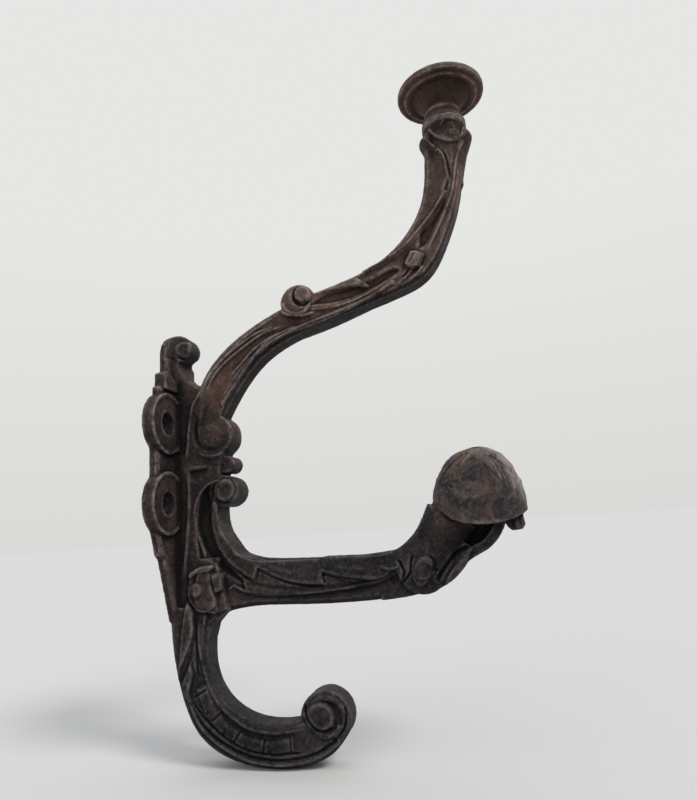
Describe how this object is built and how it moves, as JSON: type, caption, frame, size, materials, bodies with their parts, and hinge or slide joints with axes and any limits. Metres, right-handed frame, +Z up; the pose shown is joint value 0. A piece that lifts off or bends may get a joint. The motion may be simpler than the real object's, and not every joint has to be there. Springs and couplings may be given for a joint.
{
  "type": "ornamental cast iron wall coat hook",
  "caption": "Ornamental cast iron wall hook with a hat knob on a long upper arm, a domed middle arm and a curled lower hook, screwed on through a plate.",
  "frame": {"origin": "centre of the four screw holes, on the back face that lies against the wall", "axes": "+Z up the wall, -Y away from the wall towards the knob, X across the plate"},
  "size_m": [0.0518, 0.1432, 0.2691],
  "materials": {
    "iron": "worn dark brown patina"
  },
  "bodies": {
    "root": {"hook_casting": "iron"}
  },
  "joints": []
}
